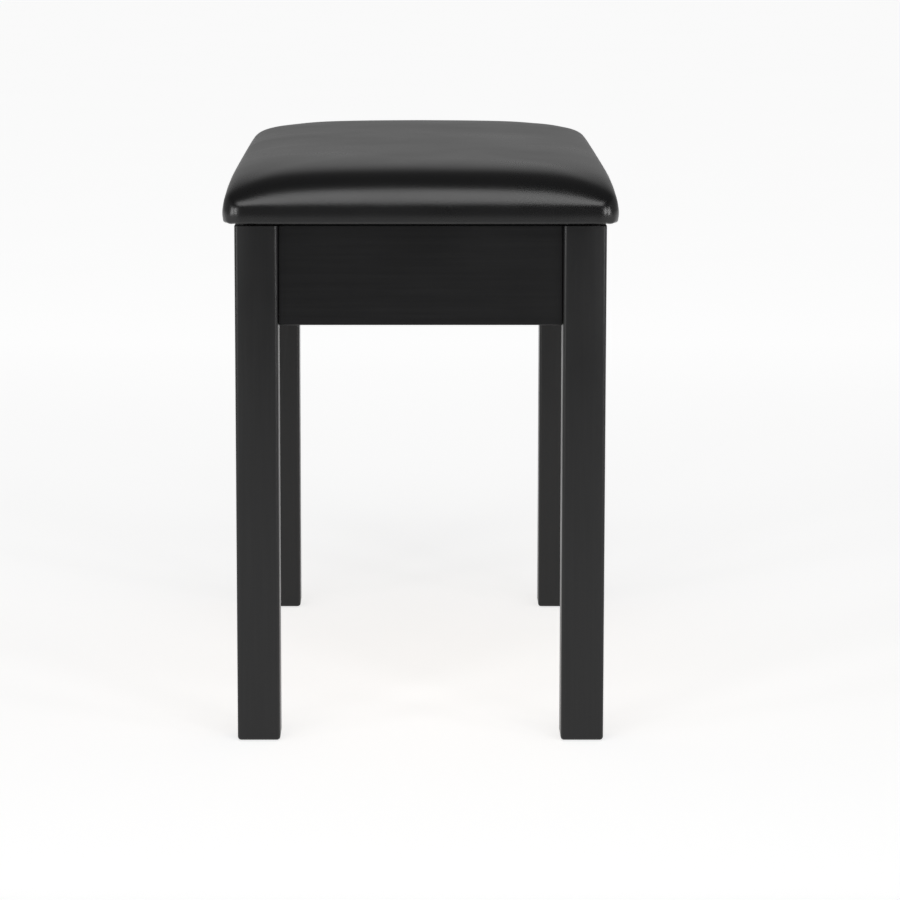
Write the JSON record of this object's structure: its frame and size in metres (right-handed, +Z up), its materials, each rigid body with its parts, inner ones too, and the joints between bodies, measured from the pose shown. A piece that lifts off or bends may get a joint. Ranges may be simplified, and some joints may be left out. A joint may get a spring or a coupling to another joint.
{
  "type": "piano bench",
  "caption": "Long upholstered piano bench with a crowned seat that hinges up from a storage compartment, held open by folding stays.",
  "frame": {"origin": "on the floor, midway between the legs", "axes": "+Z up, +Y along the bench's length, +X across it towards the seat's hinges"},
  "size_m": [0.346, 0.672, 0.5145],
  "materials": {
    "lacquer": "satin black lacquer over close-grained wood",
    "leatherette": "semi-gloss black leatherette with a fine pebbled grain",
    "foam": "open-cell foam, slightly yellowed",
    "bare_wood": "unfinished plywood",
    "lining": "thin black non-woven lining cloth",
    "zinc": "zinc-plated sheet steel",
    "brass": "brass-plated steel",
    "rubber": "matte black rubber",
    "nylon": "black nylon"
  },
  "bodies": {
    "frame": {"leg_near_left": "lacquer", "glide_near_left": "nylon", "bumper_near_left": "rubber", "corner_bracket_near_left": "zinc", "hanger_bolt_near_left": "zinc", "wing_nut_near_left": "zinc", "leg_near_right": "lacquer", "glide_near_right": "nylon", "bumper_near_right": "rubber", "corner_bracket_near_right": "zinc", "hanger_bolt_near_right": "zinc", "wing_nut_near_right": "zinc", "leg_far_left": "lacquer", "glide_far_left": "nylon", "bumper_far_left": "rubber", "corner_bracket_far_left": "zinc", "hanger_bolt_far_left": "zinc", "wing_nut_far_left": "zinc", "leg_far_right": "lacquer", "glide_far_right": "nylon", "bumper_far_right": "rubber", "corner_bracket_far_right": "zinc", "hanger_bolt_far_right": "zinc", "wing_nut_far_right": "zinc", "apron_long_left": "lacquer", "apron_long_right": "lacquer", "apron_short_near": "lacquer", "apron_short_far": "lacquer", "storage_floor": "bare_wood", "hinge_leaf_frame_near": "brass", "hinge_pin_near": "brass", "screw_frame_near_1": "brass", "screw_frame_near_2": "brass", "stay_frame_bracket_near": "zinc", "hinge_leaf_frame_far": "brass", "hinge_pin_far": "brass", "screw_frame_far_1": "brass", "screw_frame_far_2": "brass", "stay_frame_bracket_far": "zinc"},
    "seat": {"seat_cover": "leatherette", "seat_foam": "foam", "seat_board": "bare_wood", "seat_lining": "lining", "hinge_leaf_lid_near": "brass", "screw_lid_near_1": "brass", "screw_lid_near_2": "brass", "stay_lid_bracket_near": "zinc", "hinge_leaf_lid_far": "brass", "screw_lid_far_1": "brass", "screw_lid_far_2": "brass", "stay_lid_bracket_far": "zinc"},
    "stay_lower_near": {"stay_lower_arm_near": "zinc", "stay_knee_rivet_near": "zinc"},
    "stay_upper_near": {"stay_upper_arm_near": "zinc"},
    "stay_lower_far": {"stay_lower_arm_far": "zinc", "stay_knee_rivet_far": "zinc"},
    "stay_upper_far": {"stay_upper_arm_far": "zinc"}
  },
  "joints": [
    {"name": "seat_hinge", "type": "hinge", "parent": "frame", "child": "seat", "pos_m": [0.163, 0, 0.4602], "axis": [0, 1, 0], "range_deg": [0, 80]},
    {"name": "stay_foot_near", "type": "hinge", "parent": "frame", "child": "stay_lower_near", "pos_m": [0.062, -0.3, 0.4225], "axis": [0, 1, 0], "range_deg": [0, 80]},
    {"name": "stay_head_near", "type": "hinge", "parent": "seat", "child": "stay_upper_near", "pos_m": [0.063, -0.3, 0.4502], "axis": [0, 1, 0], "range_deg": [-80, 0]},
    {"name": "stay_foot_far", "type": "hinge", "parent": "frame", "child": "stay_lower_far", "pos_m": [0.062, 0.3, 0.4225], "axis": [0, 1, 0], "range_deg": [0, 80]},
    {"name": "stay_head_far", "type": "hinge", "parent": "seat", "child": "stay_upper_far", "pos_m": [0.063, 0.3, 0.4502], "axis": [0, 1, 0], "range_deg": [-80, 0]}
  ],
  "couplings": [
    {"joint": "stay_foot_near", "follows": "seat_hinge", "ratio": 1},
    {"joint": "stay_head_near", "follows": "seat_hinge", "ratio": -1},
    {"joint": "stay_foot_far", "follows": "seat_hinge", "ratio": 1},
    {"joint": "stay_head_far", "follows": "seat_hinge", "ratio": -1}
  ]
}
